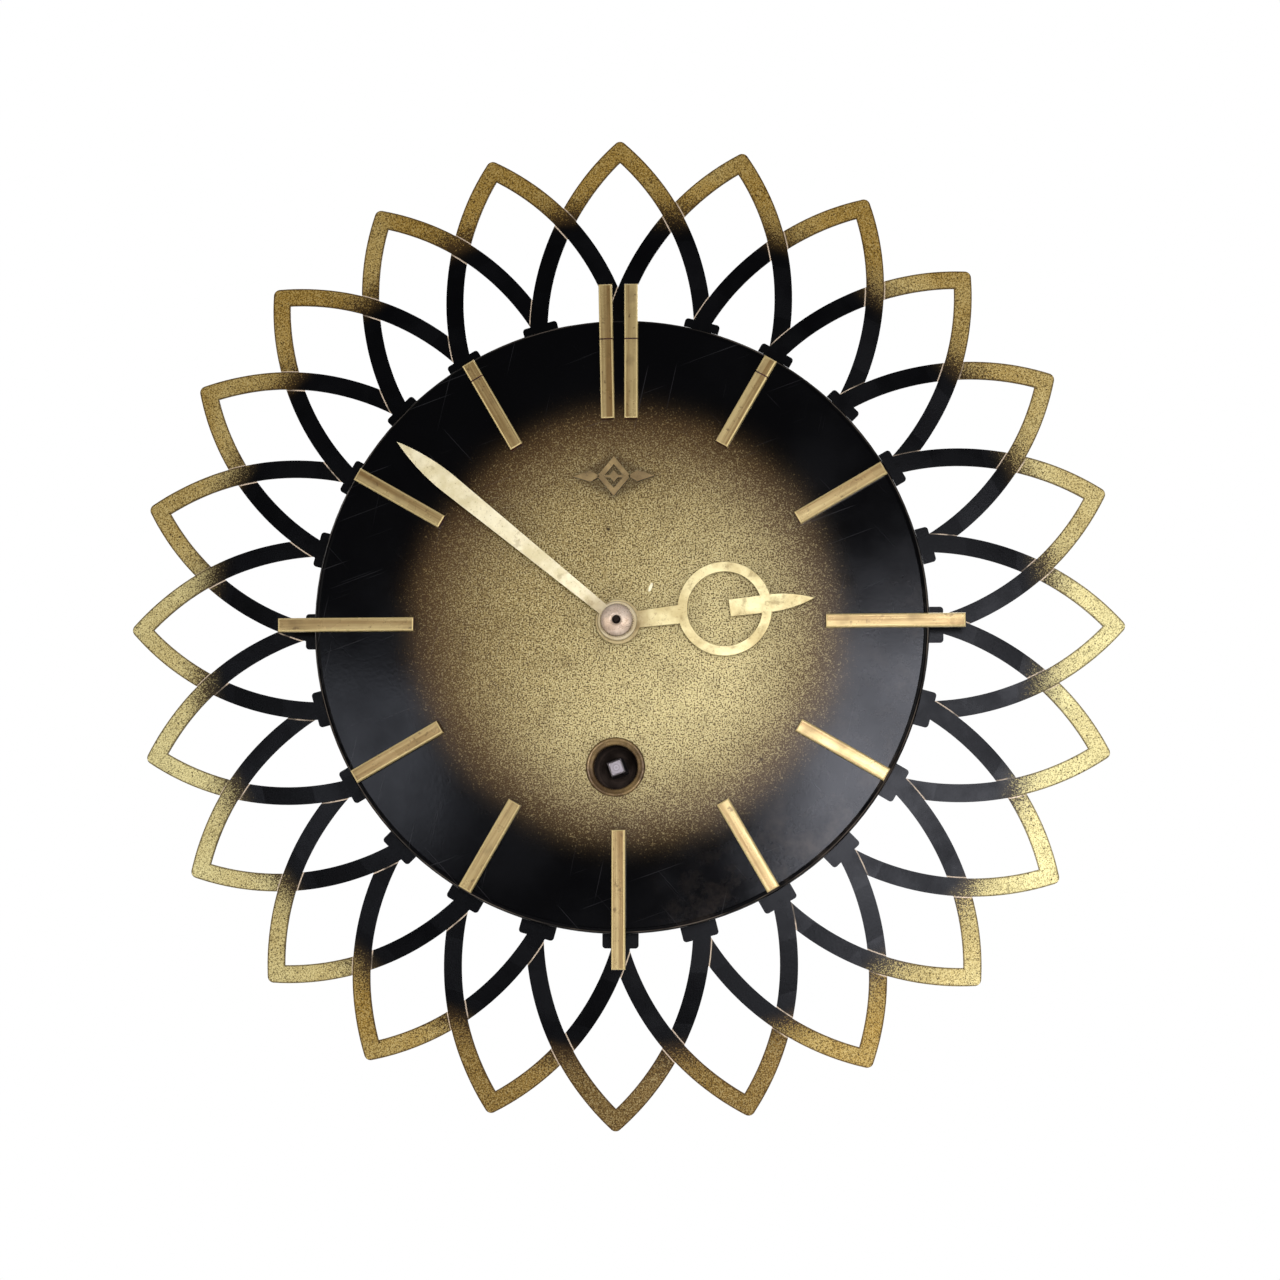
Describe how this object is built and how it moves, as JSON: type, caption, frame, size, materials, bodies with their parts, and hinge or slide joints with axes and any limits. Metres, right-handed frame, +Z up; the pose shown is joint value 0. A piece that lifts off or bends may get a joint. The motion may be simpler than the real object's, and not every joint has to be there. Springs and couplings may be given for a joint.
{
  "type": "sunburst wall clock",
  "caption": "Round wall clock: pressed dial with raised hour bars and two hands, ringed by overlapping sheet-metal petals, with a key-wound spring movement in a dust cover behind.",
  "frame": {"origin": "on the wall plane, on the axis of the hands", "axes": "+Y into the wall, the dial faces -Y, +Z up, +X to the right as seen from the front"},
  "size_m": [0.2996, 0.0535, 0.2996],
  "materials": {
    "petal_gold": "gold lacquer fading to satin black",
    "black_steel": "satin black enamel with a sprayed khaki centre",
    "hand_brass": "polished, lightly spotted",
    "bar_brass": "brushed, bevelled edges polished",
    "bronze": "toned, satin",
    "nut_brass": "knurled, worn lacquer",
    "wheel_brass": "satin, machined",
    "plate_brass": "grained",
    "steel": "bright",
    "zinc_steel": "zinc plated",
    "spring_steel": "blued"
  },
  "bodies": {
    "case": {"petal_01": "petal_gold", "petal_02": "petal_gold", "petal_03": "petal_gold", "petal_04": "petal_gold", "petal_05": "petal_gold", "petal_06": "petal_gold", "petal_07": "petal_gold", "petal_08": "petal_gold", "petal_09": "petal_gold", "petal_10": "petal_gold", "petal_11": "petal_gold", "petal_12": "petal_gold", "petal_13": "petal_gold", "petal_14": "petal_gold", "petal_15": "petal_gold", "petal_16": "petal_gold", "petal_17": "petal_gold", "petal_18": "petal_gold", "petal_19": "petal_gold", "petal_20": "petal_gold", "petal_21": "petal_gold", "petal_22": "petal_gold", "petal_23": "petal_gold", "petal_24": "petal_gold", "petal_carrier": "zinc_steel", "petal_rivets": "zinc_steel", "dial": "black_steel", "dial_posts": "zinc_steel", "long_hour_bars": "bar_brass", "short_hour_bars": "bar_brass", "dial_ornament": "bronze", "winding_grommet": "bar_brass", "click_spring": "spring_steel", "front_plate": "plate_brass", "back_plate": "plate_brass", "plate_pillars": "steel", "dust_cover": "zinc_steel", "hanger": "zinc_steel", "case_screws": "zinc_steel", "hairspring": "spring_steel"},
    "minute_hand": {"minute_hand": "hand_brass", "hand_nut": "nut_brass", "cannon_pinion": "wheel_brass", "centre_arbor": "steel"},
    "hour_hand": {"hour_hand": "hand_brass", "hour_wheel": "wheel_brass"},
    "minute_wheel": {"minute_wheel": "wheel_brass"},
    "centre_wheel": {"centre_wheel": "wheel_brass"},
    "intermediate_wheel": {"intermediate_wheel": "wheel_brass"},
    "third_wheel": {"third_wheel": "wheel_brass"},
    "fourth_wheel": {"fourth_wheel": "wheel_brass"},
    "escape_wheel": {"escape_wheel": "wheel_brass"},
    "barrel": {"barrel": "plate_brass", "mainspring": "spring_steel"},
    "winding_arbor": {"winding_arbor": "steel", "ratchet_wheel": "steel"},
    "click": {"click": "steel"},
    "pallet_lever": {"pallet_lever": "steel"},
    "balance": {"balance_wheel": "wheel_brass"},
    "regulator": {"regulator": "steel"}
  },
  "joints": [
    {"name": "minute_hand_turn", "type": "hinge", "parent": "case", "child": "minute_hand", "pos_m": [0, -0.0486, 0], "axis": [0, 1, 0], "continuous": true},
    {"name": "hour_hand_turn", "type": "hinge", "parent": "case", "child": "hour_hand", "pos_m": [0, -0.0462, 0], "axis": [0, 1, 0], "continuous": true},
    {"name": "minute_wheel_turn", "type": "hinge", "parent": "case", "child": "minute_wheel", "pos_m": [0.006, -0.03, 0.01039], "axis": [0, 1, 0], "continuous": true},
    {"name": "fourth_wheel_turn", "type": "hinge", "parent": "case", "child": "fourth_wheel", "pos_m": [0.00699, -0.018, 0.02335], "axis": [0, 1, 0], "continuous": true},
    {"name": "escape_wheel_turn", "type": "hinge", "parent": "case", "child": "escape_wheel", "pos_m": [-0.00507, -0.0215, 0.02122], "axis": [0, 1, 0], "continuous": true},
    {"name": "third_wheel_turn", "type": "hinge", "parent": "case", "child": "third_wheel", "pos_m": [0.01379, -0.0145, 0.01157], "axis": [0, 1, 0], "continuous": true},
    {"name": "centre_wheel_turn", "type": "hinge", "parent": "case", "child": "centre_wheel", "pos_m": [0, -0.011, 0], "axis": [0, 1, 0], "continuous": true},
    {"name": "intermediate_wheel_turn", "type": "hinge", "parent": "case", "child": "intermediate_wheel", "pos_m": [0.0046, -0.0224, -0.01869], "axis": [0, 1, 0], "continuous": true},
    {"name": "barrel_turn", "type": "hinge", "parent": "case", "child": "barrel", "pos_m": [-0.001, -0.015, -0.0428], "axis": [0, 1, 0], "continuous": true},
    {"name": "winding_turn", "type": "hinge", "parent": "case", "child": "winding_arbor", "pos_m": [-0.001, -0.028, -0.0428], "axis": [0, 1, 0], "range_deg": [0, 1620]},
    {"name": "click_lift", "type": "hinge", "parent": "case", "child": "click", "pos_m": [0.0126, -0.0286, -0.0368], "axis": [0, 1, 0], "range_deg": [0, 12], "stiffness_Nm_per_rad": 0.002, "springref_deg": -1.15},
    {"name": "pallet_rock", "type": "hinge", "parent": "case", "child": "pallet_lever", "pos_m": [-0.0126, -0.021, 0.01595], "axis": [0, 1, 0], "range_deg": [-5, 5]},
    {"name": "balance_swing", "type": "hinge", "parent": "case", "child": "balance", "pos_m": [-0.02243, -0.0147, 0.00906], "axis": [0, 1, 0], "range_deg": [-220, 220], "stiffness_Nm_per_rad": 0.00001},
    {"name": "regulator_set", "type": "hinge", "parent": "case", "child": "regulator", "pos_m": [-0.02243, -0.0058, 0.00906], "axis": [0, 1, 0], "range_deg": [-18, 18]}
  ],
  "couplings": [
    {"joint": "hour_hand_turn", "follows": "minute_hand_turn", "ratio": 0.083333},
    {"joint": "minute_wheel_turn", "follows": "minute_hand_turn", "ratio": -0.33333},
    {"joint": "escape_wheel_turn", "follows": "fourth_wheel_turn", "ratio": -7.5},
    {"joint": "third_wheel_turn", "follows": "fourth_wheel_turn", "ratio": -0.13333},
    {"joint": "centre_wheel_turn", "follows": "fourth_wheel_turn", "ratio": 0.016667},
    {"joint": "intermediate_wheel_turn", "follows": "fourth_wheel_turn", "ratio": -0.0027778},
    {"joint": "barrel_turn", "follows": "fourth_wheel_turn", "ratio": 0.00034722}
  ]
}
